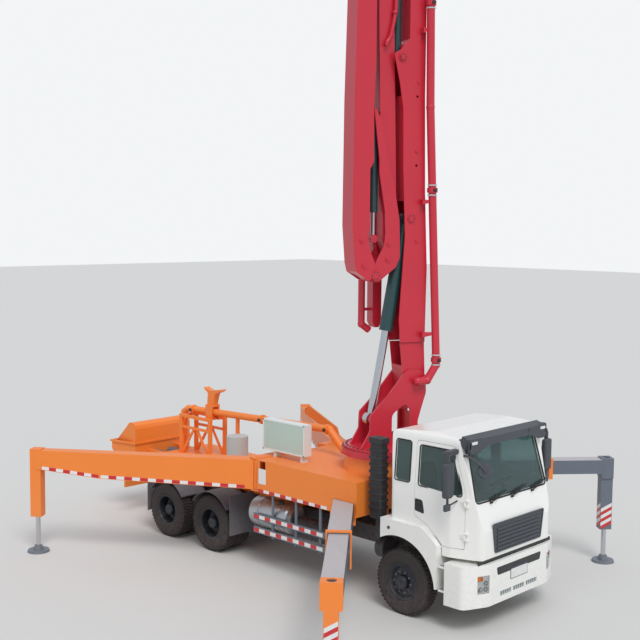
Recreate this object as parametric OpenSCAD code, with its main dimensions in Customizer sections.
// Truck-mounted concrete pump with a four-section folding boom, outriggers out.
// Millimetres. X points forward and Y to the left; the wheels stand on Z = 0.

/* [Truck] */
// Distance from the front axle to the middle of the two rear axles
wheelbase = 5445; // [5400:5:5500]
// Distance between the two rear axles
tandem = 1350; // [1300:10:1400]
// Outer radius of the tyres
tyre_r = 540; // [530:1:545]
// Width of one tyre
tyre_w = 280; // [260:1:290]
// Distance between the middles of the two front tyres
front_track = 2110; // [2080:10:2130]
// Distance between the outer faces of the rear twin tyres
rear_width = 2480; // [2460:10:2490]
// Width over the body's sides
body_w = 2500; // [2480:10:2520]
// Height of the underside of the frame rails
rail_z = 780; // [770:5:800]
// Depth of the frame rails
rail_h = 280; // [260:5:300]
// Width over the frame rails
rail_w = 860; // [840:5:870]

/* [Cab] */
// Width over the cab's sides
cab_w = 2260; // [2240:10:2280]
// Thickness of the cab's walls and doors
cab_wall = 45; // [30:1:55]
// Height of the cab's roof
cab_top = 3060; // [3000:10:3100]
// Gap round a closed door
door_gap = 7; // [6:1:10]
// Radius of the front wheel arch
arch_r = 760; // [740:5:780]

/* [Outrigger frame] */
// X of the frame's front face
body_x1 = -950; // [-980:5:-930]
// X of the frame's rear face
body_x0 = -3400; // [-3450:5:-3380]
// Height of the frame's side panels' lower edge
body_z0 = 1420; // [1400:5:1440]
// Height of the frame's top plate
body_z1 = 2016; // [2014:1:2022]
// Thickness of the frame's plates
plate = 14; // [10:1:18]

/* [Front outriggers] */
// Angle of the front beams, forward of straight sideways
beam_yaw = 41; // [39:0.5:43]
// X where a front beam leaves the body's side
mouth_x = -1250; // [-1280:5:-1240]
// Width of the first beam stage
stage1_w = 350; // [330:5:360]
// Height of the first beam stage
stage1_h = 300; // [280:5:302]
// Length of the right first stage that stands out of the body
stage1_out_right = 1850; // [1750:10:1900]
// Length of the right second stage that stands out of the first
stage2_out_right = 2160; // [2000:10:2200]
// Length of the left first stage that stands out of the body
stage1_out_left = 2150; // [2050:10:2200]
// Length of the left second stage that stands out of the first
stage2_out_left = 1070; // [1000:10:1150]
// Wall of the beams
beam_wall = 16; // [12:1:20]

/* [Rear outriggers] */
// X of the rear legs' hinges
leg_x = -3560; // [-3570:5:-3550]
// Distance of the rear legs' hinges in from the body's sides
leg_inset = 175; // [170:5:190]
// Length of a rear leg from its hinge to its jack
leg_len = 4290; // [4200:10:4350]
// Angle that the rear legs are swung out by
leg_yaw = 36; // [34:0.5:38]

/* [Boom] */
// X of the slewing axis
slew_x = -1380; // [-1390:5:-1370]
// Direction that the boom's front faces, from straight ahead
boom_yaw = 68; // [60:1:75]
// Radius of the slewing ring
ring_r = 800; // [780:5:810]
// Height of the boom's first pivot
pivot_z = 3570; // [3560:5:3580]
// Height of the hinge at the top of the first arm
top_z = 12200; // [12000:10:12300]
// Height of the hinge between the second and third arms
knee_z = 5420; // [5400:5:5450]
// Height of the hinge between the third and fourth arms
head_z = 11770; // [11700:10:11800]
// Height of the fourth arm's free end
tip_z = 4470; // [4400:10:4500]
// Width of the first arm
arm1_w = 450; // [440:5:460]
// Width of the second arm
arm2_w = 360; // [350:5:370]
// Width of the third arm
arm3_w = 410; // [400:5:415]
// Outer diameter of the concrete pipe
pipe_d = 140; // [133:1:145]
// Thickness of the arms' walls
arm_wall = 20; // [12:1:24]

/* [Hidden] */
$fn = 48;

// Middle of the whole machine as it stands, taken as the origin
mid_x = -3465;
mid_y = -280;

// General clearances
gap = 0.3;
slide_gap = 6;
pin_gap = 0.4;
// How much thicker a concrete pipe is in its bends
bend_over = 6;

// Frame and axles
rail_top = rail_z + rail_h;
rail_x0 = -7200;
rail_x1 = 1120;
flange = 85;
rail_t = 10;
axle_z = tyre_r;
mid_axle_x = -wheelbase + tandem / 2;
rear_axle_x = -wheelbase - tandem / 2;
front_wheel_y = front_track / 2;
twin_gap = 40;
twin_y = rear_width / 2 - tyre_w - twin_gap / 2;
king_y = 880;
king_r = 25;
stub_r = 40;
spindle_r = 60;
rim_r = 286;

// Cab
arch_x = -50;
arch_z = 550;
cab_floor_z = 1280;
cab_nose_z = 1150;
fender_r = arch_r + 340;
hinge_x = 1130;
hinge_y = 1066;

// Outrigger beams: a point at distance s along the beam, from the mouth
beam_z_right = 1352;
casing_h = stage1_h + 2 * slide_gap;
beam_z_left = beam_z_right + casing_h + 2 * plate;
casing_len = 3250;
stage1_len = 3180;
stage2_len = 3080;
stage2_w = stage1_w - 2 * beam_wall - 2 * slide_gap;
stage2_h = stage1_h - 2 * beam_wall - 2 * slide_gap;
jack_w = 220;
jack_rod_r = 45;
foot_r = 210;
foot_t = 40;
foot_neck_z = 130;
jack_stroke = 450;
jack_z0 = 640;
jack_cap = 40;

// Rear legs
leg_y = body_w / 2 - leg_inset;
leg_z0 = 1440;
leg_z1 = 1985;
leg_w = 330;
leg_pin_r = 60;

// Slewing gear and boom, in the boom's own plane: r forward of the slewing axis, z up
ring_z = 2290;
turret_z = 2440;
pivot = [420, pivot_z];
foot_pin = [-330, 2900];
head_pin = [300, 6400];
top_pin = [-75, top_z];
knee_pin = [-360, knee_z];
arm4_pin = [-560, head_z];
arm4_y = 375;
arm4_w = 225;
pivot_pin_r = 70;

function unit(v) = v / norm(v);
function turn(a) = a > 180 ? a - 360 : a < -180 ? a + 360 : a;
// One rounded corner b between a and c
function corner(a, b, c, r, n) =
    let (u = unit(a - b), v = unit(c - b), half = acos(u * v) / 2,
        m = b + unit(u + v) * r / sin(half),
        p = b + u * r / tan(half) - m, q = b + v * r / tan(half) - m,
        s = atan2(p.y, p.x), d = turn(atan2(q.y, q.x) - s))
    [for (k = [0:n]) m + r * [cos(s + d * k / n), sin(s + d * k / n)]];
// An outline with rounded corners; each row is [x, y, corner radius]
function rounded(rows, n = 4) =
    let (c = len(rows))
    [for (i = [0:c - 1])
        let (a = rows[(i + c - 1) % c], b = rows[i], d = rows[(i + 1) % c])
        each b[2] == 0 ? [[b.x, b.y]]
            : corner([a.x, a.y], [b.x, b.y], [d.x, d.y], b[2], n)];

module placed() translate([-mid_x, -mid_y, 0]) children();
module box(lo, hi) translate(lo) cube(hi - lo);
// Outlines drawn in X and Z, given thickness from y0 to y1
module slab_y(y0, y1) translate([0, y1, 0]) rotate([90, 0, 0]) linear_extrude(y1 - y0) children();
// Outlines drawn in Y and Z, given thickness from x0 to x1
module slab_x(x0, x1) translate([x0, 0, 0]) rotate([90, 0, 90]) linear_extrude(x1 - x0) children();
// Outlines drawn in X and Y, given thickness from z0 to z1
module slab_z(z0, z1) translate([0, 0, z0]) linear_extrude(z1 - z0) children();
// Round bar between two points
module bar(a, b, r) {
    d = b - a;
    translate(a)
        rotate([0, acos(d.z / norm(d)), atan2(d.y, d.x)])
            cylinder(h = norm(d), r = r);
}
// Round bar or bore along Y
module pin_y(x, z, y0, y1, r) translate([x, y1, z]) rotate([90, 0, 0]) cylinder(h = y1 - y0, r = r);
module both_sides() {
    children();
    mirror([0, 1, 0]) children();
}
// side is -1 on the right and 1 on the left
module on_side(side) {
    if (side < 0) mirror([0, 1, 0]) children();
    else children();
}

module chassis() placed() color("dimgray") {
    // Each row is [x, length] of one cross member
    members = [[rail_x0 + 20, 90], [-6700, 90], [-wheelbase - 60, 120], [-3900, 90], [-1900, 90], [1020, 90]];
    both_sides()
        slab_x(rail_x0, rail_x1)
            polygon([[rail_w / 2, rail_z], [rail_w / 2, rail_top], [rail_w / 2 - flange, rail_top],
                [rail_w / 2 - flange, rail_top - rail_t], [rail_w / 2 - rail_t, rail_top - rail_t],
                [rail_w / 2 - rail_t, rail_z + rail_t], [rail_w / 2 - flange, rail_z + rail_t],
                [rail_w / 2 - flange, rail_z]]);
    for (m = members)
        box([m[0], -rail_w / 2 + rail_t / 2, rail_z + 60],
            [m[0] + m[1], rail_w / 2 - rail_t / 2, rail_top - 60]);
    // Mounts that carry the cab
    both_sides() {
        box([1040, rail_w / 2 - flange, rail_top], [1110, rail_w / 2, cab_nose_z - gap]);
        box([-320, rail_w / 2 - flange, rail_top], [-260, rail_w / 2, cab_floor_z - gap]);
    }
}

spring_w = 80;
spring_y = rail_w / 2 - flange / 2;
front_spring_len = 1500;
front_spring_z = axle_z + 15;
rear_spring_y = rail_w / 2 + 20;

// Height of the middle of a leaf spring that rises by rise towards its ends
function leaf_z(x, len, z0, rise) = z0 + rise * pow(2 * x / len, 2);

module leaf_spring(len, z0, rise, t) {
    n = 8;
    polygon(concat(
        [for (i = [0:n]) let (x = -len / 2 + len * i / n) [x, leaf_z(x, len, z0, rise)]],
        [for (i = [n:-1:0]) let (x = -len / 2 + len * i / n) [x, leaf_z(x, len, z0, rise) + t]]));
}

module axles() placed() color("dimgray") {
    difference() {
        union() {
            slab_x(-45, 45)
                polygon([[-king_y, axle_z + 70], [-700, axle_z + 70], [-560, axle_z], [560, axle_z],
                    [700, axle_z + 70], [king_y, axle_z + 70], [king_y, axle_z - 70],
                    [760, axle_z - 70], [600, axle_z - 120], [-600, axle_z - 120],
                    [-760, axle_z - 70], [-king_y, axle_z - 70]]);
            both_sides() translate([0, king_y, axle_z - 70]) cylinder(h = 140, r = 58);
        }
        both_sides() translate([0, king_y, axle_z - 80]) cylinder(h = 160, r = king_r + 0.1);
    }
    // Front leaf springs and their hangers
    both_sides() {
        slab_y(spring_y - spring_w / 2, spring_y + spring_w / 2)
            leaf_spring(front_spring_len, axle_z - 20, 150, 60);
        for (x = [-front_spring_len / 2, front_spring_len / 2 - 60])
            box([x, spring_y - spring_w / 2, axle_z + 120], [x + 60, spring_y + spring_w / 2, rail_z]);
    }
    // Rear axles, their differentials and the bogie springs
    for (x = [mid_axle_x, rear_axle_x]) {
        pin_y(x, axle_z, -twin_y - hub_end + 20, twin_y + hub_end - 20, spindle_r);
        pin_y(x, axle_z, -620, 620, 85);
        translate([x, 0, axle_z]) sphere(r = 215);
    }
    both_sides() {
        slab_y(rear_spring_y, rear_spring_y + spring_w)
            translate([-wheelbase, 0])
                leaf_spring(tandem + 80, rail_z - 70, -120, 90);
        box([-wheelbase - 110, rail_w / 2, rail_z - 60], [-wheelbase + 110, rear_spring_y + spring_w, rail_top - 20]);
    }
    // Drive shafts
    bar([-1150, 0, axle_z + 180], [mid_axle_x + 100, 0, axle_z + 40], 55);
    bar([mid_axle_x - 100, 0, axle_z + 40], [rear_axle_x + 100, 0, axle_z + 40], 50);
}

engine_z0 = 640;
module engine() placed() color("gray") {
    // Engine block with sump, and the gearbox behind it
    box([-200, -320, engine_z0], [740, 320, 1265]);
    box([740, -60, 700], [900, 60, 900]);
    box([900, -335, 620], [1000, 335, 1130]);
    box([0, -rail_w / 2 + rail_t + gap, rail_z + 100], [120, rail_w / 2 - rail_t - gap, rail_top - 60]);
    slab_y(-230, 230)
        polygon([[-200, 600], [-200, 1180], [-500, 1080], [-1000, 900], [-1147, 860], [-1147, 600]]);
}

// Bumper with its corner wraps and the steps behind them
bumper_top = 1090;
bumper_z0 = 420;
bumper_x = 1440;
bumper_end_x = 900;
module bumper_plan(inset) {
    w = body_w / 2 - inset;
    polygon(rounded([[bumper_end_x, -w, 0], [1260, -w, 120], [bumper_x - inset, -w + 420, 300],
        [bumper_x - inset, w - 420, 300], [1260, w, 120], [bumper_end_x, w, 0]]));
}
module bumper() placed() color("white") {
    difference() {
        slab_z(bumper_z0, bumper_top) bumper_plan(0);
        translate([-1, 0, 0]) slab_z(bumper_z0 - 1, bumper_top - 40) bumper_plan(50);
        // Air slots and the lamp recesses
        box([bumper_x - 120, -600, 900], [bumper_x + 10, 600, 985]);
        for (y = [-520, -160, 200]) box([bumper_x - 120, y, 510], [bumper_x + 10, y + 320, 590]);
        both_sides() box([bumper_x - 160, 800, 640], [bumper_x + 10, 1010, 920]);
        box([bumper_end_x - 10, -860, bumper_top - 60], [bumper_x - 60, 860, bumper_top + 10]);
    }
    // Brackets to the frame rails
    both_sides() box([rail_x1 + gap, 350, 800], [bumper_x - 40, 420, 1000]);
    // Steps behind the bumper's ends
    both_sides() {
        box([bumper_end_x - 130, rail_w / 2 + gap, 980], [bumper_end_x + 20, body_w / 2 - 20, 1010]);
        box([bumper_end_x - 130, 900, 600], [bumper_end_x + 20, body_w / 2 - 20, 630]);
        box([bumper_end_x - 130, 900, 600], [bumper_end_x + 20, 930, 1010]);
    }
}

tank_r = 275;
tank_y = body_w / 2 - 350;
tank_z = 960;
tank_x = mid_axle_x + tyre_r + 430;
module side_tanks() placed() {
    silencer_x = tank_x + 1200;
    drum_x = tank_x + 1650;
    battery_y = body_w / 2 - 70;
    color("silver") {
        // Round fuel tank on the right, with its domed ends and straps
        translate([tank_x, -tank_y, tank_z])
            rotate([0, 90, 0])
                rotate_extrude()
                    polygon([[0, 0], [170, 15], [tank_r - 20, 60], [tank_r, 90], [tank_r, 260],
                        [tank_r + 8, 260], [tank_r + 8, 320], [tank_r, 320], [tank_r, 780],
                        [tank_r + 8, 780], [tank_r + 8, 840], [tank_r, 840], [tank_r, 1010],
                        [tank_r - 20, 1040], [170, 1085], [0, 1100]]);
        for (x = [tank_x + 260, tank_x + 780])
            box([x, -tank_y, 900], [x + 60, -rail_w / 2 - gap, 960]);
    }
    color("dimgray") {
        // Silencer on the right, with its bracket
        translate([silencer_x, -tank_y + 40, 850]) rotate([0, 90, 0]) cylinder(h = 760, r = 190);
        box([silencer_x + 300, -tank_y + 40, 820], [silencer_x + 400, -rail_w / 2 - gap, 880]);
        // Battery box on the left
        box([tank_x + 200, rail_w / 2 + gap, 700], [tank_x + 1500, battery_y, 1300]);
        // Air drums ahead of them
        translate([-860, -700, 860]) rotate([0, 90, 0]) cylinder(h = 180, r = 185);
        box([-800, -700, 830], [-740, -rail_w / 2 - gap, 890]);
        translate([drum_x, tank_y - 30, 900]) rotate([0, 90, 0]) cylinder(h = 900, r = 160);
        box([drum_x + 250, rail_w / 2 + gap, 860], [drum_x + 350, tank_y - 30, 920]);
    }
}

guard_r = tyre_r + 70;
guard_t = 12;
module mudguards() placed() color("dimgray") both_sides() {
    for (x = [mid_axle_x, rear_axle_x]) {
        difference() {
            slab_y(640, body_w / 2)
                intersection() {
                    translate([x, axle_z]) circle(r = guard_r + guard_t);
                    translate([x - 500, axle_z + 300]) square([1000, 400]);
                }
            pin_y(x, axle_z, 600, body_w / 2 + 10, guard_r);
        }
        // Bracket over each guard, from the frame rail
        box([x - 25, rail_w / 2 + gap, rail_top - 90], [x + 25, 480, rail_top - 50]);
        box([x - 25, 450, rail_top - 90], [x + 25, 480, axle_z + guard_r + 60]);
        box([x - 25, 450, axle_z + guard_r + guard_t - 4], [x + 25, 700, axle_z + guard_r + 60]);
    }
    // Flaps ahead of and behind the wheels
    for (x = [mid_axle_x + tyre_r + 60, rear_axle_x - tyre_r - 72]) {
        box([x, 640, 420], [x + guard_t, body_w / 2, 1190]);
        box([x, rail_w / 2 + gap, 980], [x + guard_t, 640, 1040]);
    }
}

module side_guards() placed() color("silver") both_sides() {
    for (z = [650, 900])
        box([-3500, body_w / 2 - 35, z], [-1650, body_w / 2 - 5, z + 110]);
    for (x = [-3050, -2450, -1850])
        box([x, body_w / 2 - 60, 600], [x + 50, body_w / 2 - 35, body_z0]);
}

module air_intake() placed() color("dimgray") {
    // Ribbed intake stack behind the cab, with its cap
    slab_z(1440, 2700) polygon(rounded([[-820, -1090, 40], [-560, -1090, 40], [-560, -900, 40], [-820, -900, 40]]));
    slab_z(2700, 2790) polygon(rounded([[-840, -1110, 40], [-540, -1110, 40], [-540, -880, 40], [-840, -880, 40]]));
    for (z = [1600:120:2600])
        slab_z(z, z + 40) polygon(rounded([[-835, -1105, 40], [-545, -1105, 40], [-545, -885, 40], [-835, -885, 40]]));
    box([-740, -1000, rail_top + gap], [-640, -900, 1440]);
    box([-740, -1000, rail_top + gap], [-640, -rail_w / 2 + 60, rail_top + 60]);
}

module along_beam(side) {
    // X' runs out along the beam from the mouth, in the middle of its width
    translate([mouth_x, side * body_w / 2, 0])
        rotate([0, 0, side > 0 ? 90 - beam_yaw : beam_yaw - 90]) children();
}
module beam_casing(side, z, grow) {
    w = stage1_w / 2 + slide_gap + grow;
    along_beam(side)
        box([-casing_len, -w, z - slide_gap - grow], [300, w, z + stage1_h + slide_gap + grow]);
}
module outrigger_frame() placed() color("orange") {
    difference() {
        union() {
            difference() {
                box([body_x0, -body_w / 2, body_z0], [body_x1, body_w / 2, body_z1 - 2]);
                box([body_x0 + plate, -body_w / 2 + plate, body_z0 + plate],
                    [body_x1 - plate, body_w / 2 - plate, body_z1 - 2 - plate]);
            }
            intersection() {
                union() {
                    beam_casing(-1, beam_z_right, plate);
                    beam_casing(1, beam_z_left, plate);
                }
                box([body_x0, -body_w / 2, 1300], [body_x1, body_w / 2, 2100]);
            }
            // Flange plate that hangs round the lower beam's mouth
            box([mouth_x - 290, -body_w / 2 - plate, beam_z_right - 60], [mouth_x + 290, -body_w / 2, body_z0 + 40]);
        }
        beam_casing(-1, beam_z_right, 0);
        beam_casing(1, beam_z_left, 0);
    }
    // Wear pads that the beams slide on
    for (side = [-1, 1])
        along_beam(side)
            box([-600, -100, beam_z(side) - slide_gap], [-400, 100, beam_z(side) - gap]);
    // Feet of the frame on the rails
    both_sides() {
        box([body_x0 + 60, rail_w / 2 - flange, rail_top], [body_x0 + 360, rail_w / 2, body_z0 + plate]);
        box([body_x1 - 260, rail_w / 2 - flange, rail_top], [body_x1 - 60, rail_w / 2, body_z0 + plate]);
    }
}

module pedestal() placed() color("orange") {
    difference() {
        translate([slew_x, 0, body_z1 - 2 + gap]) cylinder(h = ring_z - body_z1 + 2 - gap, r1 = 760, r2 = 700);
        translate([slew_x, 0, body_z1 - 8]) cylinder(h = ring_z - body_z1 + 20, r = 560);
        translate([slew_x, 0, body_z1 + 150]) rotate([0, 90, -55]) cylinder(h = 900, r = 95);
        translate([slew_x, 0, body_z1 + 150]) rotate([0, 90, 180]) cylinder(h = 900, r = 110);
    }
}

deck_z = 1440;
bracket_t = 32;
hopper_x0 = -8500;
hopper_x1 = -7850;
hopper_w = 890;
hopper_w1 = 740;
hopper_z0 = 810;
hopper_t = 12;
rim_z = 1580;
rim_w = 30;
underrun_y = leg_y - 135;
beams_x0 = hopper_x1 + rim_w + gap;
module rear_frame() placed() color("orange") {
    // Longitudinal box beams on the rails, with the deck between them
    both_sides()
        box([beams_x0, rail_w / 2 - flange, rail_top], [body_x0 - gap, rail_w / 2, deck_z - 40]);
    box([rail_x0 + gap, -800, deck_z - 40], [body_x0 - gap, 800, deck_z]);
    // Brackets that hold the rear legs' pins
    both_sides()
        difference() {
            union() {
                for (z = [leg_z0 - 8 - bracket_t, leg_z1 + 8]) {
                    box([leg_x - 80, 560, z], [body_x0 - gap, leg_y, z + bracket_t]);
                    translate([leg_x, leg_y, z]) cylinder(h = bracket_t, r = 150);
                }
                box([leg_x - 80, 560, deck_z - 40], [leg_x + 100, 590, leg_z1 + 8 + bracket_t]);
            }
            translate([leg_x, leg_y, 1380]) cylinder(h = 700, r = leg_pin_r + 0.1);
            translate([body_x0 - gap, 0, 1000]) cube([400, 1500, 1200]);
        }
    // Underrun bar behind, hung from the rails
    both_sides() {
        box([-7950, 340, 700], [rail_x0 + 120, 420, rail_z - gap]);
    }
    box([-7990, -underrun_y, 620], [-7940, underrun_y, 760]);
}

// Plan of the hopper, which narrows towards the truck, drawn in by inset
module hopper_plan(inset)
    polygon([[hopper_x0 + inset, -hopper_w + inset], [hopper_x1 - inset, -hopper_w1 + inset],
        [hopper_x1 - inset, hopper_w1 - inset], [hopper_x0 + inset, hopper_w - inset]]);
// Basin with walls that slope in towards its floor
module hopper_basin(inset, up)
    intersection() {
        slab_z(hopper_z0 + inset, rim_z + up) hopper_plan(inset);
        slab_x(hopper_x0, hopper_x1)
            polygon([[-hopper_w + inset, rim_z + up], [hopper_w - inset, rim_z + up], [hopper_w - inset, 1380],
                [500 - inset, hopper_z0 + inset], [-500 + inset, hopper_z0 + inset], [-hopper_w + inset, 1380]]);
        slab_y(-hopper_w, hopper_w)
            polygon([[hopper_x0 + inset, rim_z + up], [hopper_x1 - inset, rim_z + up], [hopper_x1 - inset, hopper_z0 + inset],
                [hopper_x0 + 260 + inset, hopper_z0 + inset], [hopper_x0 + inset, 1300]]);
    }
hood_z = 2000;
module hopper() placed() color("orange") {
    difference() {
        union() {
            hopper_basin(0, 0);
            slab_z(rim_z - 40, rim_z) hopper_plan(-rim_w);
        }
        hopper_basin(hopper_t, 20);
    }
    // Splash hood: a sheet that stands on the front rim and curls over to the rear
    hood = [[0, -30], [0, hood_z - rim_z - 130], [-20, hood_z - rim_z - 60], [-75, hood_z - rim_z - 12],
        [-150, hood_z - rim_z], [-230, hood_z - rim_z - 18]];
    sheet = [for (i = [len(hood) - 1:-1:0]) [hood[i].x - (i < 2 ? 14 : i < 4 ? 9 : 0), hood[i].y - (i < 2 ? 0 : 13)]];
    translate([hopper_x1 + 10, 0, rim_z]) {
        slab_y(-hopper_w1, hopper_w1) polygon(concat(hood, sheet));
        both_sides()
            slab_y(hopper_w1 - 14, hopper_w1)
                polygon(concat(hood, [[-330, 300], [hopper_x0 - hopper_x1, 0], [hopper_x0 - hopper_x1, -20]]));
    }
    // Feet on the ends of the frame's beams
    both_sides()
        box([hopper_x1 - 10, rail_w / 2 - flange, rail_top], [beams_x0 - gap, rail_w / 2, deck_z - 40]);
}

module pump_cylinders() placed() color("dimgray") {
    // The two delivery cylinders and their water box, under the deck
    both_sides() translate([hopper_x1 + gap, 210, 1230]) rotate([0, 90, 0]) cylinder(h = 2600, r = 130);
    box([-5290, -rail_w / 2 + flange + gap, 1090], [-4950, rail_w / 2 - flange - gap, 1390]);
}

rest_x = -6150;
rest_y = 200;
rest_top = 2270;
pipe_x0 = -7090;
// Height of the deck pipe's middle at x, on its long rising run
function deck_pipe_z(x) = 2355 + (x + 6950) * 0.0324;
module boom_rest() placed() color("orange") {
    // Side frames on the deck, with a middle rail and two braces each
    both_sides() {
        for (x = [-6940, -6000]) box([x - 40, rest_y - 30, deck_z + gap], [x + 40, rest_y + 30, rest_top]);
        box([-6980, rest_y - 30, rest_top - 60], [-5960, rest_y + 30, rest_top]);
        box([-6940, rest_y - 25, 1980], [-6000, rest_y + 25, 2030]);
        for (d = [-1, 1])
            slab_y(rest_y - 15, rest_y + 15)
                translate([-6470, 0])
                    polygon([[d * 20, 2000], [d * 70, 2000], [d * 440, 1500], [d * 440, 1440 + gap], [d * 400, 1440 + gap]]);
    }
    // Cross members; the pipe lies on a saddle
    for (x = [-6880, rest_x])
        box([x - 30, -rest_y, rest_top - 55], [x + 30, rest_y, rest_top]);
    box([rest_x - 20, -45, rest_top - 10], [rest_x + 20, 45, deck_pipe_z(rest_x) - pipe_d / 2 - 2]);
    // Post that straddles the pipe, with the flared cradle for the boom
    both_sides() box([rest_x - 110, 80, rest_top - 55], [rest_x + 90, 110, 2540]);
    box([rest_x - 110, -110, 2500], [rest_x + 90, 110, 2540]);
    slab_y(-70, 70)
        polygon([[rest_x - 100, 2520], [rest_x + 80, 2520], [rest_x + 100, 2640], [rest_x + 150, 2780], [rest_x + 340, 2860],
            [rest_x + 330, 2890], [rest_x + 120, 2850], [rest_x, 2830], [rest_x - 110, 2850], [rest_x - 190, 2890],
            [rest_x - 205, 2860], [rest_x - 80, 2780]]);
}

module deck_pipe() placed() color("orange") {
    // Each row is one bend of the pipe's path, [x, z]
    path = [[pipe_x0, deck_z + gap], [pipe_x0, 2270], [-6950, deck_pipe_z(-6950)], [-2780, deck_pipe_z(-2780)],
        [-2420, 2160], [slew_x - 640, 2160]];
    for (i = [0:len(path) - 2]) {
        bar([path[i].x, 0, path[i].y], [path[i + 1].x, 0, path[i + 1].y], pipe_d / 2);
        if (i > 0) translate([path[i].x, 0, path[i].y]) sphere(r = pipe_d / 2 + bend_over);
    }
    // Clamp rings, and the stands on the deck
    for (x = [-6800, -4650, -2860])
        translate([x, 0, deck_pipe_z(x)]) rotate([0, 90, 0]) cylinder(h = 60, r = pipe_d / 2 + 22);
    translate([pipe_x0, 0, 1600]) cylinder(h = 60, r = pipe_d / 2 + 22);
    for (x = [-5400, -4000])
        box([x, -30, deck_z + gap], [x + 60, 30, deck_pipe_z(x) - 20]);
}

module oil_cooler() placed() color("white") {
    box([-3640, -880, 2130], [-2560, -700, 2700]);
    for (x = [-3380, -2680])
        box([x, -860, body_z1 - 2 + gap], [x + 60, -720, 2130]);
}

module deck_fittings() placed() color("orange") {
    // Water drum on the deck
    translate([-4965, -360, deck_z + gap]) cylinder(h = 2100 - deck_z, r = 215);
    // Lug with an eye, leaning back from the left leg's bracket
    lug_z = leg_z1 + 8 + bracket_t + gap;
    difference() {
        slab_y(leg_y - 120, leg_y - 75)
            polygon(rounded([[leg_x - 80, lug_z, 0], [leg_x + 140, lug_z, 0], [leg_x + 40, 2300, 60], [-4290, 2630, 60],
                [-4420, 2560, 60], [-4390, 2460, 40], [leg_x - 120, 2170, 60]]));
        pin_y(-4350, 2550, leg_y - 200, leg_y, 25);
    }
}

module arch_cut(grow) both_sides() pin_y(arch_x, arch_z, 700, 1500, arch_r + grow);

// Side view of the cab, drawn in by inset
function cab_side(inset) = rounded([
    [-330 + inset, cab_floor_z + inset, 0],
    [-330 + inset, cab_top - 60 - inset, 120],
    [500, cab_top - inset, 400],
    [1010 - inset * 1.2, cab_top - 40 - inset, 60],
    [1290 - inset * 1.1, 1980, 30],
    [1400 - inset, 1600, 30],
    [1400 - inset, cab_nose_z + inset, 20],
    [760 + inset, cab_nose_z + inset, 0],
    [760 + inset, cab_floor_z + inset, 0]]);
// Plan of the cab, with its corners drawn in towards the front
function cab_plan(inset) = let (w = cab_w / 2 - inset) rounded([
    [-330 + inset, -w, 90], [900, -w, 200], [1400 - inset, -w + 190, 130],
    [1400 - inset, w - 190, 130], [900, w, 200], [-330 + inset, w, 90]]);
module cab_solid(inset) {
    intersection() {
        slab_y(-cab_w, cab_w) polygon(cab_side(inset));
        slab_z(1000, 3200) polygon(cab_plan(inset));
        slab_x(-400, 1500)
            let (w = cab_w / 2 - inset)
            polygon(rounded([[-w, 1100, 0], [w, 1100, 0], [w, 2200, 0], [w - 60, cab_top - inset, 120],
                [-w + 60, cab_top - inset, 120], [-w, 2200, 0]]));
    }
}
// Side opening of a door: front and rear edges, sill over the wheel arch
function door_outline(g) = rounded([
    [1130 - g, 1300 + g, 30], [1130 - g, 2180, 60], [960 - g, 2900 - g, 80], [190 + g, 2900 - g, 60],
    [190 + g, 1680 + g, 40], [480 + g / 2, 1560 + g, 120], [720 + g, 1300 + g, 60]]);
function door_window(g) = rounded([
    [1070 - g, 2130 + g, 50], [1060 - g, 2250, 30], [925 - g, 2820 - g, 60], [270 + g, 2820 - g, 50],
    [270 + g, 2190 + g, 50]]);
function rear_window(g) = rounded([
    [80 - g, 2200 + g, 50], [80 - g, 2850 - g, 50], [-220 + g, 2850 - g, 50], [-220 + g, 2200 + g, 50]]);
function screen_outline(g) = rounded([
    [-960 + g, 2040 + g, 80], [960 - g, 2040 + g, 80], [900 - g, 2940 - g, 80], [-900 + g, 2940 - g, 80]]);
module cab_windows() {
    both_sides() slab_y(cab_w / 2 - 200, cab_w / 2 + 10) {
        polygon(door_window(0));
        polygon(rear_window(0));
    }
    slab_x(900, 1500) polygon(screen_outline(0));
}
module cab_hollow() {
    difference() {
        cab_solid(0);
        cab_solid(cab_wall);
        cab_windows();
    }
}
module cab_shell() placed() color("white") {
    difference() {
        union() {
            cab_hollow();
            // Wheel arch liners and fenders
            both_sides()
                difference() {
                    slab_y(780, body_w / 2)
                        intersection() {
                            translate([arch_x, arch_z]) circle(r = fender_r, $fn = 64);
                            translate([-420, 620]) square([1160, 930]);
                        }
                    slab_y(700, cab_w / 2 - cab_wall)
                        polygon([for (i = [0:32]) [arch_x, arch_z] + (arch_r + 20) * [cos(i * 11.25), sin(i * 11.25)]]);
                }
        }
        arch_cut(0);
        both_sides() slab_y(cab_w / 2 - cab_wall - 80, cab_w / 2 + 20) polygon(door_outline(0));
    }
    hinge_pins();
}
module cab_front() placed() color("dimgray") {
    // Grille panel, sun visor and round front mirror
    box([1400 + gap, -620, 1240], [1412, 620, 1640]);
    for (z = [1270:62:1580]) box([1410, -590, z], [1428, 590, z + 34]);
    slab_y(-1030, 1030)
        polygon([[1027, 2960], [1012, 3016], [1030, 3060], [1190, 3010], [1205, 2890], [1185, 2885], [1165, 2975]]);
}
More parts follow.
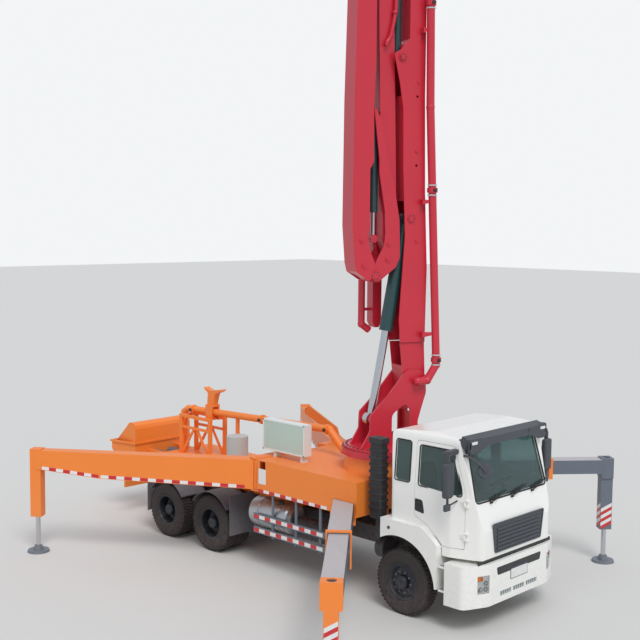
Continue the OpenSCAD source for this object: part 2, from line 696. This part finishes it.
// Glass that follows the cab's skin, a little inside it
module glass_skin() {
    difference() {
        cab_solid(18);
        cab_solid(26);
    }
}
module cab_glass() placed() color("lightblue")
    intersection() {
        glass_skin();
        union() {
            slab_x(950, 1500) polygon(screen_outline(gap));
            both_sides() slab_y(cab_w / 2 - 100, cab_w / 2) polygon(rear_window(gap));
        }
    }
module door_glass(side) placed() color("lightblue") on_side(side)
    intersection() {
        glass_skin();
        slab_y(cab_w / 2 - 200, cab_w / 2 + 10) polygon(door_window(gap));
    }
module door_glass_right() door_glass(-1);
module door_glass_left() door_glass(1);
module cab_interior() placed() color("gray") {
    both_sides() {
        box([-120, 250, cab_floor_z + cab_wall + gap], [380, 780, 1700]);
        slab_y(250, 780) polygon([[-150, 1700], [0, 1700], [-80, 2350], [-200, 2350]]);
    }
    slab_y(-900, 900)
        polygon([[900, cab_nose_z + cab_wall + gap], [1150, cab_nose_z + cab_wall + gap], [1150, 1880],
            [950, 1960], [860, 1880]]);
    bar([900, 515, 1750], [700, 515, 2050], 30);
    translate([700, 515, 2050])
        rotate([0, -33.7, 0])
            rotate_extrude() translate([210, 0]) circle(r = 16, $fn = 16);
    translate([700, 515, 2050]) rotate([0, -33.7, 0]) box([-200, -20, -8], [200, 20, 8]);
}
// Heights of the two hinges of a door
hinge_zs = [1480, 2000];
hinge_h = 60;
module door(side) {
    on_side(side) {
        difference() {
            intersection() {
                cab_hollow();
                slab_y(cab_w / 2 - cab_wall - 80, cab_w / 2 + 20) polygon(door_outline(door_gap));
            }
            pin_y(arch_x, arch_z, 700, 1500, fender_r + door_gap);
        }
        // Hinge barrels
        for (z = hinge_zs)
            difference() {
                union() {
                    translate([hinge_x, hinge_y, z]) cylinder(h = hinge_h, r = 18);
                    box([hinge_x - 75, hinge_y - 10, z], [hinge_x, hinge_y + 10, z + hinge_h]);
                    box([hinge_x - 95, hinge_y - 30, z], [hinge_x - 30, hinge_y + 10, z + hinge_h]);
                }
                translate([hinge_x, hinge_y, z - 1]) cylinder(h = hinge_h + 2, r = 10 + pin_gap);
            }
        // Mirror bracket and mirror
        bar([930, cab_w / 2 - 40, 2850], [1020, cab_w / 2 + 230, 2830], 12);
        bar([1000, cab_w / 2 - 60, 2060], [1020, cab_w / 2 + 230, 2020], 12);
        bar([1020, cab_w / 2 + 230, 2860], [1020, cab_w / 2 + 230, 1990], 18);
        slab_x(985, 1055)
            translate([cab_w / 2 + 140, 2150])
                polygon(rounded([[0, 0, 40], [180, 0, 50], [180, 450, 50], [0, 450, 40]]));
    }
}
// Pins of the door hinges, held by lugs on the front pillars
module hinge_pins() both_sides() for (z = hinge_zs) {
    translate([hinge_x, hinge_y, z - 30]) cylinder(h = hinge_h + 60, r = 10);
    for (h = [z - 30, z + hinge_h + 5])
        box([hinge_x - 5, hinge_y - 70, h], [hinge_x + 60, hinge_y + 10, h + 25]);
}
module door_right() placed() color("white") door(-1);
module door_left() placed() color("white") door(1);

module knuckle(side) placed() color("dimgray") on_side(side) {
    // Upper and lower lugs round the axle's end, the kingpin and the stub axle
    for (z = [axle_z + 76, axle_z - 122])
        translate([0, king_y, z]) cylinder(h = 46, r = 60);
    translate([0, king_y, axle_z - 122]) cylinder(h = 244, r = king_r);
    box([-60, king_y + 68, axle_z - 122], [60, king_y + 90, axle_z + 122]);
    for (z = [axle_z + 76, axle_z - 122])
        box([-60, king_y, z], [60, king_y + 90, z + 46]);
    pin_y(0, axle_z, king_y + 80, king_y + 300, stub_r);
}
module knuckle_right() knuckle(-1);
module knuckle_left() knuckle(1);

// Half profile of a tyre, [radius, across]
module tyre_profile() {
    w = tyre_w / 2;
    polygon([[rim_r - 10, -w + 40], [rim_r + 20, -w + 12], [tyre_r - 130, -w], [tyre_r - 35, -w + 18],
        [tyre_r, -w + 50], [tyre_r, w - 50], [tyre_r - 35, w - 18], [tyre_r - 130, w],
        [rim_r + 20, w - 12], [rim_r - 10, w - 40]]);
}
// A wheel round Y; the disc's outer face lies at dish from the tyre's middle
module single_rim(dish, hub_r) {
    w = tyre_w / 2;
    polygon([[rim_r, -w + 30], [rim_r + 14, -w + 30], [rim_r + 14, -w + 16], [rim_r - 14, -w + 16],
        [rim_r - 18, dish - 30], [130, dish], [hub_r, dish], [hub_r, dish + 26], [130, dish + 26],
        [rim_r - 18, dish + 4], [rim_r - 14, w - 16], [rim_r + 14, w - 16], [rim_r + 14, w - 30], [rim_r, w - 30]]);
}
module front_wheel(side) placed() color("dimgray") on_side(side)
    translate([0, front_wheel_y, axle_z])
        rotate([-90, 0, 0]) {
            rotate_extrude() tyre_profile();
            rotate_extrude() single_rim(60, stub_r + pin_gap);
            translate([0, 0, 60])
                for (a = [0:36:324]) rotate([0, 0, a]) translate([170, 0, 0]) cylinder(h = 50, r = 16, $fn = 16);
            difference() {
                cylinder(h = 160, r = 105);
                translate([0, 0, -10]) cylinder(h = 145, r = stub_r + pin_gap);
            }
        }
module wheel_front_right() front_wheel(-1);
module wheel_front_left() front_wheel(1);
module twin_wheel(side, x) placed() color("dimgray") on_side(side)
    translate([x, twin_y, axle_z])
        rotate([-90, 0, 0]) {
            for (y = [-1, 1])
                translate([0, 0, y * (tyre_w + twin_gap) / 2]) {
                    rotate_extrude() tyre_profile();
                    rotate_extrude() rim_ring();
                }
            // Wheel disc between the two rims, and the hub with its closed cap
            rotate_extrude()
                polygon([[spindle_r + pin_gap, -13], [230, -13], [246, -70], [rim_r - 14, -70],
                    [rim_r - 14, 70], [246, 70], [230, 13], [110, 13], [110, hub_end], [0, hub_end],
                    [0, hub_end - 15], [spindle_r + pin_gap, hub_end - 15]]);
        }
hub_end = 250;
module rim_ring() {
    w = tyre_w / 2;
    polygon([[rim_r, -w + 30], [rim_r + 14, -w + 30], [rim_r + 14, -w + 16], [rim_r - 14, -w + 16],
        [rim_r - 18, -w + 60], [rim_r - 18, w - 60], [rim_r - 14, w - 16], [rim_r + 14, w - 16], [rim_r + 14, w - 30], [rim_r, w - 30]]);
}
module wheel_mid_right() twin_wheel(-1, mid_axle_x);
module wheel_mid_left() twin_wheel(1, mid_axle_x);
module wheel_rear_right() twin_wheel(-1, rear_axle_x);
module wheel_rear_left() twin_wheel(1, rear_axle_x);

function beam_z(side) = side > 0 ? beam_z_left : beam_z_right;
function stage1_out(side) = side > 0 ? stage1_out_left : stage1_out_right;
function beam_end(side) = stage1_out(side) + (side > 0 ? stage2_out_left : stage2_out_right);
collar_t = 75;
collar_plate = 25;
module beam_outer(side) placed() color("slategray") {
    z = beam_z(side);
    w = stage1_w / 2;
    out = stage1_out(side);
    along_beam(side) {
        difference() {
            box([out - stage1_len, -w, z], [out - 5, w, z + stage1_h]);
            box([out - stage1_len - 10, -w + beam_wall, z + beam_wall],
                [out + 10, w - beam_wall, z + stage1_h - beam_wall]);
        }
        // Wear pad under the second stage
        box([out - 200, -80, z + beam_wall - 2], [out - 10, 80, z + beam_wall + slide_gap - gap]);
    }
}
// Frame round the first stage's end, open below, with hanging sides
module beam_collar(side) placed() color("orange") along_beam(side) {
    w = stage1_w / 2 + gap;
    top = beam_z(side) + stage1_h + gap;
    drop = side < 0 ? 260 : 60;
    out = stage1_out(side);
    difference() {
        box([out - collar_t, -w - collar_plate, beam_z(side) - drop], [out, w + collar_plate, top + collar_plate]);
        box([out - collar_t - 1, -w, beam_z(side) - drop - 1], [out + 1, w, top]);
    }
}
function stage2_z(side) = beam_z(side) + beam_wall + slide_gap;
module beam_inner(side) placed() color("slategray") {
    z = stage2_z(side);
    w = stage2_w / 2;
    s = beam_end(side);
    along_beam(side)
        difference() {
            box([s - stage2_len, -w, z], [s - jack_w / 2 - gap, w, z + stage2_h]);
            box([s - stage2_len - 10, -w + 12, z + 12], [s, w - 12, z + stage2_h - 12]);
        }
}
// Housing of the jack at the second stage's end, with a round recess in its top
module jack_case(side) placed() along_beam(side) {
    w = side < 0 ? stage2_w / 2 : 130;
    top = stage2_z(side) + stage2_h + jack_rise;
    s = beam_end(side);
    difference() {
        union() {
            box([s - jack_w / 2, -w, top - 380], [s + jack_w / 2, w, top]);
            box([s - jack_w / 2, -100, jack_z0], [s + jack_w / 2, 100, top - 370]);
        }
        translate([s, 0, jack_z0 - 40])
            cylinder(h = top - jack_rise - jack_cap - jack_z0 + 40, r = jack_rod_r + pin_gap);
        translate([s, 0, top - jack_rise]) cylinder(h = jack_rise + 10, r = 70);
    }
}
jack_rise = 25;
// Foot plate with its rod; the housing's bore ends at bore_top
module jack_foot(bore_top) {
    cylinder(h = foot_t, r1 = foot_r, r2 = foot_r - 12);
    cylinder(h = foot_neck_z, r1 = 110, r2 = 70);
    cylinder(h = bore_top - jack_stroke - 20, r = jack_rod_r);
}
module foot_front(side) placed() color("silver")
    along_beam(side) translate([beam_end(side), 0, 0]) jack_foot(stage2_z(side) + stage2_h - jack_cap);
module beam_outer_right() beam_outer(-1);
module beam_outer_left() beam_outer(1);
module beam_inner_right() beam_inner(-1);
module beam_inner_left() beam_inner(1);
module beam_collar_right() beam_collar(-1);
module beam_collar_left() beam_collar(1);
module jack_case_right() color("orange") jack_case(-1);
module jack_case_left() color("slategray") jack_case(1);
module foot_front_right() foot_front(-1);
module foot_front_left() foot_front(1);

module along_leg(side) {
    // X' runs out along the leg from its hinge
    translate([leg_x, side * leg_y, 0])
        rotate([0, 0, side > 0 ? 180 - leg_yaw : 180 + leg_yaw]) children();
}
leg_wall = 20;
leg_z_tip = leg_z0 + 190;
module leg(side) placed() color("orange") along_leg(side) {
    difference() {
        union() {
            difference() {
                leg_box(0);
                leg_box(leg_wall);
            }
            translate([0, 0, leg_z0]) cylinder(h = leg_z1 - leg_z0, r = leg_hub_r);
            box([leg_len - 105, -105, jack_z0 + 60], [leg_len + 105, 105, leg_z1 + 20]);
        }
        translate([leg_len, 0, jack_z0]) cylinder(h = leg_z1 - jack_cap - jack_z0, r = jack_rod_r + pin_gap);
    }
    translate([0, 0, leg_z0 - 8 - bracket_t - 10])
        cylinder(h = leg_z1 - leg_z0 + 2 * (8 + bracket_t + 10), r = leg_pin_r);
}
leg_hub_r = 150;
module leg_box(inset) {
    intersection() {
        slab_z(leg_z0 + inset, leg_z1 - inset)
            polygon([[60, -leg_w / 2 + inset], [60, leg_w / 2 - inset], [leg_len, 120 - inset],
                [leg_len, -120 + inset]]);
        slab_y(-300, 300)
            polygon([[0, leg_z0 + inset], [0, leg_z1 - inset], [leg_len, leg_z1 - inset],
                [leg_len, leg_z_tip + inset], [3000, leg_z0 + 60 + inset]]);
    }
}
module foot_rear(side) placed() color("silver")
    along_leg(side) translate([leg_len, 0, 0]) jack_foot(leg_z1 - jack_cap);
module leg_right() leg(-1);
module leg_left() leg(1);
module foot_rear_right() foot_rear(-1);
module foot_rear_left() foot_rear(1);

// Boom frame: X' forward of the slewing axis, Y' to its left
module boom() placed() translate([slew_x, 0, 0]) rotate([0, 0, boom_yaw]) children();

plate_y0 = 205;
plate_y1 = 245;
module turret() boom() color("firebrick") {
    translate([0, 0, ring_z + gap]) cylinder(h = 110, r = ring_r);
    translate([0, 0, ring_z + 110]) cylinder(h = turret_z - ring_z - 110, r = ring_r - 40);
    difference() {
        both_sides()
            slab_y(plate_y0, plate_y1)
                polygon(rounded([[-620, turret_z - 10, 0], [-450, 2720, 120], [-440, 3010, 80], [-118, 3330, 200],
                    [190, 3700, 80], [pivot.x - 130, pivot.y + 215, 120], [pivot.x + 205, pivot.y + 170, 160],
                    [pivot.x + 215, pivot.y - 220, 200], [540, 3060, 150], [475, 2840, 150], [570, turret_z - 10, 0]]));
        pin_y(pivot.x, pivot.y, -400, 400, pivot_pin_r + 0.1);
        // Window between the plates' legs
        slab_y(-400, 400)
            polygon(rounded([[-30, 2600, 60], [-30, 3000, 140], [246, 3190, 90], [330, 3060, 80], [330, 2600, 60]]));
    }
    // Cross plate behind the window
    box([400, -plate_y0, turret_z - 10], [440, plate_y0, 3000]);
    // Bosses at the lift cylinder's foot, clear of the rod's eye
    both_sides() pin_y(foot_pin.x, foot_pin.y, 85, plate_y0 + 5, 90);
}

arm1_z0 = 4250;
// Height of the nose that carries the second arm's cylinder
nose_z = top_z - 3020;
// Front edge of the first arm at height z
function arm1_front(z) = lookup(z, [[arm1_z0, 600], [5540, 620], [6850, 561], [8470, 530], [top_z, 530]]);
// Side view of the first arm, drawn in by w
module arm1_outline(w) polygon([
    [600 - w, arm1_z0], [620 - w, 5540], [561 - w, 6850], [530 - w, 8470], [530 - w, top_z - 500],
    [400 - w, top_z + 60 - w], [top_pin.x + 60, top_z + 175 - w], [top_pin.x - 110 + w, top_z + 130 - w],
    [top_pin.x - 175 + w, top_z], [top_pin.x - 150 + w, top_z - 150], [220 + w, top_z - 560],
    [220 + w, nose_z + 260], [33 + w, nose_z + 60], [-70 + w, nose_z], [42 + w, nose_z - 480],
    [112 + w, nose_z - 910], [130 + w, 7240], [182 + w, 6100], [88 + w, 4650], [122 + w, arm1_z0]]);
foot_half = plate_y0 - slide_gap;
module arm_1() boom() color("firebrick") {
    inner = arm1_w / 2 - arm_wall;
    difference() {
        union() {
            slab_y(-arm1_w / 2, arm1_w / 2) arm1_outline(0);
            pin_y(top_pin.x, top_z, -arm1_w / 2, arm1_w / 2, 175);
            // Foot of the arm, between the turret's plates
            slab_y(-foot_half, foot_half)
                polygon(rounded([[pivot.x - 228, pivot.y + 100, 80], [pivot.x - 200, pivot.y - 200, 190],
                    [pivot.x + 205, pivot.y - 200, 190], [pivot.x + 205, pivot.y + 150, 100],
                    [600, arm1_z0 + 50, 0], [120, arm1_z0 + 50, 0]]));
            // Bosses of the second arm's cylinder, on the nose
            both_sides() pin_y(fold2_x, fold2_z, arm1_w / 2 - 5, arm1_w / 2 + 15, 80);
        }
        slab_y(-inner, inner) arm1_outline(arm_wall);
        // Open back below, where the lift cylinder lies
        slab_y(-inner, inner)
            polygon([[-100, arm1_z0 - 10], [555, arm1_z0 - 10], [575, 5540], [516, 6700], [-100, 6700]]);
        slab_y(-inner + 20, inner - 20)
            polygon([[-200, pivot.y + 270], [540, pivot.y + 270], [555, arm1_z0 + 60], [-200, arm1_z0 + 60]]);
        // Open nose, and open back round the top hinge
        slab_y(-inner, inner) {
            polygon([[-200, nose_z - 700], [105, nose_z - 700], [105, nose_z + 240], [-200, nose_z + 240]]);
            polygon([[-400, top_z - 640], [215, top_z - 640], [215, top_z + 300], [-400, top_z + 300]]);
        }
        for (z = [7310, 8480]) pin_y(381, z, -400, 400, 22);
        pin_y(top_pin.x, top_z, -400, 400, pivot_pin_r + 0.1);
    }
    pin_y(pivot.x, pivot.y, -plate_y1 - 20, plate_y1 + 20, pivot_pin_r);
    // Head pin of the lift cylinder
    pin_y(head_pin.x, head_pin.y, -arm1_w / 2 - 10, arm1_w / 2 + 10, 55);
    fold2_barrel();
    arm1_pipe();
}

fold2_x = 85;
fold2_z = nose_z - 50;
fold2_eye = fold2_z + 1620;
module fold2_barrel() {
    translate([fold2_x, 0, fold2_z - 80])
        difference() {
            cylinder(h = 1520, r = 75);
            translate([0, 0, 140]) cylinder(h = 1500, r = 42 + pin_gap);
        }
    pin_y(fold2_x, fold2_z, -arm1_w / 2 - 25, arm1_w / 2 + 25, 45);
}
module fold_rod_2() boom() color("silver") {
    translate([fold2_x, 0, fold2_z + 470]) cylinder(h = 1150, r = 42);
    pin_y(fold2_x, fold2_eye, -55, 55, 72);
}

pipe_y = -335;
// Path of the concrete pipe up the first arm, [r, z], from the pivot
arm1_pipe_path = [pivot, [604, 3585], [778, 3850], [576, 8300], [520, top_z - 100]];
function arm1_pipe_x(z) = lookup(z, [[3850, 778], [8300, 576], [top_z - 100, 520]]);
module arm1_pipe() {
    for (i = [0:len(arm1_pipe_path) - 2]) {
        a = arm1_pipe_path[i];
        b = arm1_pipe_path[i + 1];
        bar([a.x, pipe_y, a.y], [b.x, pipe_y, b.y], pipe_d / 2);
        translate([a.x, pipe_y, a.y]) sphere(r = pipe_d / 2 + bend_over);
    }
    bar([pivot.x, -plate_y1, pivot.y], [pivot.x, pipe_y, pivot.y], pivot_pin_r);
    // Clamp rings, and the brackets that carry the pipe
    for (z = [3900, 6850, 10000])
        translate([arm1_pipe_x(z), pipe_y, z]) cylinder(h = 80, r = pipe_d / 2 + 22);
    for (z = [4400, 6700, 9600, top_z - 400])
        slab_y(pipe_y - 10, -arm1_w / 2 + 5)
            polygon([[arm1_front(z) - 110, z - 60], [arm1_front(z) - 110, z + 30],
                [arm1_pipe_x(z) - 30, z + 20], [arm1_pipe_x(z) - 30, z - 20]]);
}

lift_dir = unit([foot_pin.x - head_pin.x, 0, foot_pin.y - head_pin.y]);
lift_len = norm(foot_pin - head_pin);
barrel_len = 1985;
module along_lift() {
    translate([head_pin.x, 0, head_pin.y])
        rotate([0, atan2(lift_dir.x, lift_dir.z), 0]) children();
}
module lift_barrel() boom() color("darkslategray") along_lift() {
    difference() {
        union() {
            translate([0, 0, 0]) cylinder(h = barrel_len, r = 120);
            pin_y(0, 0, -110, 110, 125);
        }
        pin_y(0, 0, -200, 200, 55 + 0.1);
        translate([0, 0, 170]) cylinder(h = barrel_len - 250, r = 75);
        translate([0, 0, 170]) cylinder(h = barrel_len, r = 70 + pin_gap);
    }
}
module lift_rod() boom() color("silver") along_lift() {
    translate([0, 0, 1750]) cylinder(h = lift_len - 1750 - 60, r = 70);
    difference() {
        pin_y(0, lift_len, -75, 75, 120);
        pin_y(0, lift_len, -200, 200, 50);
    }
}

function arm2_front(z) = 60 - (z - 6700) * 0.0279;
function arm2_rear(z) = -230 - (z - 6700) * 0.025;
arm2_box_y = 110;
arm2_plate_y = arm2_w / 2 - 24;
// Side view of the second arm's box, drawn in by w
module arm2_outline(w) {
    polygon([[arm2_front(6700) - w, 6700], [40 - w, 6300], [-20 - w, 5770 + w], [-110 + w, 5740 + w], [-190 + w, 6000],
        [-205 + w, 6510], [arm2_rear(6800) + w, 6800], [arm2_rear(top_z) + w, top_z - 250],
        [top_pin.x - 120, top_z + 110 - w], [top_pin.x, top_z + 110 - w], [arm2_front(top_z - 350) - w, top_z - 350]]);
}
// Side view of the doubler plates that carry the knee, outside the box
module arm2_doubler() {
    polygon(rounded([[-423, 8320, 20], [-276, 8070, 100], [-97, 7240, 200], [-9, 6940, 100], [96, 6360, 300],
        [113, 5730, 150], [35, 5560, 80], [-325, 5285, 80], [-450, 5385, 70], [-383, 5580, 60], [-201, 5920, 60],
        [-173, 6140, 60], [-189, 6510, 200], [-303, 7170, 150], [-306, 7390, 100]]));
}
module arm_2() boom() color("firebrick") {
    difference() {
        union() {
            difference() {
                slab_y(-arm2_box_y, arm2_box_y) arm2_outline(0);
                slab_y(-arm2_box_y + arm_wall, arm2_box_y - arm_wall) arm2_outline(arm_wall);
            }
            pin_y(top_pin.x, top_z, -150, 150, 120);
            both_sides() {
                slab_y(arm2_plate_y, arm2_w / 2) arm2_doubler();
                // Spacers between the box and the plates
                for (b = [[-77, 5990, 70], [-90, 6700, 60], [-200, 7600, 45]])
                    pin_y(b.x, b.y, arm2_box_y - 4, arm2_plate_y + 4, b.z);
                // Boss at the knee
                pin_y(knee_pin.x, knee_z, 125, arm2_plate_y + 4, 90);
            }
        }
        pin_y(knee_pin.x, knee_z, -400, 400, 60.1);
    }
    pin_y(top_pin.x, top_z, -arm1_w / 2 - 15, arm1_w / 2 + 15, pivot_pin_r);
    fold3_barrel();
}
fold3_x = -325;
module fold3_barrel() {
    translate([fold3_x, 0, 6500])
        difference() {
            cylinder(h = 1700, r = 72);
            translate([0, 0, -10]) cylinder(h = 1650, r = 40 + pin_gap);
        }
    box([fold3_x + 40, -30, 8100], [arm2_rear(8100) + 15, 30, 8200]);
}
module fold_rod_3() boom() color("silver") {
    translate([fold3_x, 0, 6050]) cylinder(h = 1300, r = 40);
    pin_y(fold3_x, 6050, -50, 50, 70);
}

arm3_front = -404;
// Side view of the third arm's box, drawn in by w
module arm3_outline(w) {
    polygon([[-814 + w, 6280], [-765 + w, 5640], [-728 + w, 5490 + w], [-640 - w, 5440 + w], [-640 - w, 5900],
        [-526 - w, 6110], [-490 - w, 6230], [-490 - w, 7230], [-420 - w, 7350], [-434 - w, 8240],
        [arm3_front - w, 8960], [arm3_front - w, head_z + 40], [arm3_front - 80, head_z + 160 - w],
        [arm4_pin.x - 60, head_z + 180 - w], [-745 + w, head_z + 100 - w], [-760 + w, 10000], [-800 + w, 8400]]);
}
module arm_3() boom() color("firebrick") {
    difference() {
        union() {
            difference() {
                slab_y(-arm3_w / 2, arm3_w / 2) arm3_outline(0);
                slab_y(-arm3_w / 2 + arm_wall, arm3_w / 2 - arm_wall) arm3_outline(arm_wall);
                // Open front, where the fourth arm's cylinder lies
                slab_y(-arm3_w / 2 + arm_wall, arm3_w / 2 - arm_wall)
                    polygon([[arm3_front - 60, 8700], [arm3_front + 20, 8700], [arm3_front + 20, 11300], [arm3_front - 60, 11300]]);
            }
            // Cheek plates at the knee, outside the second arm's plates
            both_sides()
                slab_y(arm2_w / 2 + 5, arm3_w / 2)
                    polygon(rounded([[-765, 5640, 0], [-722, 5480, 60], [-474, 5320, 50], [-420, 5420, 100],
                        [-375, 5625, 40], [-461, 5820, 100], [-526, 6110, 0], [-700, 6110, 0]]));
            // Nose of the arm at the knee
            slab_y(-115, 115)
                polygon([[-700, 5480], [knee_pin.x - 60, knee_z - 105], [knee_pin.x + 60, knee_z - 105],
                    [knee_pin.x + 105, knee_z], [knee_pin.x + 60, knee_z + 105], [-480, 5750], [-520, 6100], [-700, 6100]]);
        }
        pin_y(arm4_pin.x, arm4_pin.y, -400, 400, 50.1);
    }
    pin_y(knee_pin.x, knee_z, -arm2_w / 2 - 15, arm2_w / 2 + 15, 60);
    fold4_barrel();
    // Concrete pipe on the far side
    bar([-640, 285, 5700], [-640, 285, head_z - 250], 62);
    for (z = [6200, 8200, 10200])
        box([-670, arm3_w / 2 - 5, z], [-610, 240, z + 60]);
}
fold4_x = -640;
module fold4_barrel() {
    translate([fold4_x, 0, 8900])
        difference() {
            cylinder(h = 1300, r = 72);
            translate([0, 0, 40]) cylinder(h = 1500, r = 40 + pin_gap);
        }
    pin_y(fold4_x, 8940, -arm3_w / 2 + 5, arm3_w / 2 - 5, 40);
}
module fold_rod_4() boom() color("silver") {
    translate([fold4_x, 0, 9600]) cylinder(h = 1200, r = 40);
    pin_y(fold4_x, 10800, -50, 50, 70);
}

arm4_x = -40;
module arm4_outline(w) {
    polygon([[arm4_pin.x - 120 + w, head_z + 60], [arm4_pin.x - 50, head_z + 130 - w], [arm4_pin.x + 90, head_z + 110 - w],
        [arm4_x + 60 - w, head_z - 420], [arm4_x + 110 - w, head_z - 800], [arm4_x + 85 - w, tip_z + 100],
        [arm4_x + 40, tip_z + w], [arm4_x - 40, tip_z + w], [arm4_x - 85 + w, tip_z + 100],
        [arm4_x - 110 + w, head_z - 900], [arm4_x - 180 + w, head_z - 500], [arm4_pin.x - 100 + w, head_z - 120]]);
}
module arm_4() boom() color("firebrick") {
    difference() {
        slab_y(arm4_y, arm4_y + arm4_w) arm4_outline(0);
        slab_y(arm4_y + arm_wall, arm4_y + arm4_w - arm_wall) arm4_outline(arm_wall);
    }
    pin_y(arm4_pin.x, arm4_pin.y, -arm3_w / 2 - 15, arm4_y + arm4_w - 5, 50);
    // Concrete pipe with its end bend
    bar([arm4_pipe_x, arm4_y + 75, head_z - 900], [arm4_pipe_x, arm4_y + 75, tip_z + 60], 62);
    translate([arm4_pipe_x, arm4_y + 75, tip_z + 60]) sphere(r = 62 + bend_over);
    bar([arm4_pipe_x, arm4_y + 75, tip_z + 60], [arm4_pipe_x + 150, arm4_y + 75, tip_z - 50], 62);
    for (z = [tip_z + 300, tip_z + 2400, tip_z + 4500])
        box([arm4_pipe_x + 30, arm4_y + 50, z], [arm4_x - 60, arm4_y + 100, z + 50]);
}
arm4_pipe_x = -310;

chassis();
axles();
engine();
bumper();
side_tanks();
mudguards();
side_guards();
air_intake();
outrigger_frame();
pedestal();
rear_frame();
hopper();
pump_cylinders();
boom_rest();
deck_pipe();
oil_cooler();
deck_fittings();
cab_shell();
cab_front();
cab_glass();
cab_interior();
door_right();
door_left();
door_glass_right();
door_glass_left();
knuckle_right();
knuckle_left();
wheel_front_right();
wheel_front_left();
wheel_mid_right();
wheel_mid_left();
wheel_rear_right();
wheel_rear_left();
beam_outer_right();
beam_collar_right();
beam_inner_right();
jack_case_right();
foot_front_right();
beam_outer_left();
beam_collar_left();
beam_inner_left();
jack_case_left();
foot_front_left();
leg_right();
foot_rear_right();
leg_left();
foot_rear_left();
turret();
arm_1();
lift_barrel();
lift_rod();
arm_2();
fold_rod_2();
arm_3();
fold_rod_3();
arm_4();
fold_rod_4();
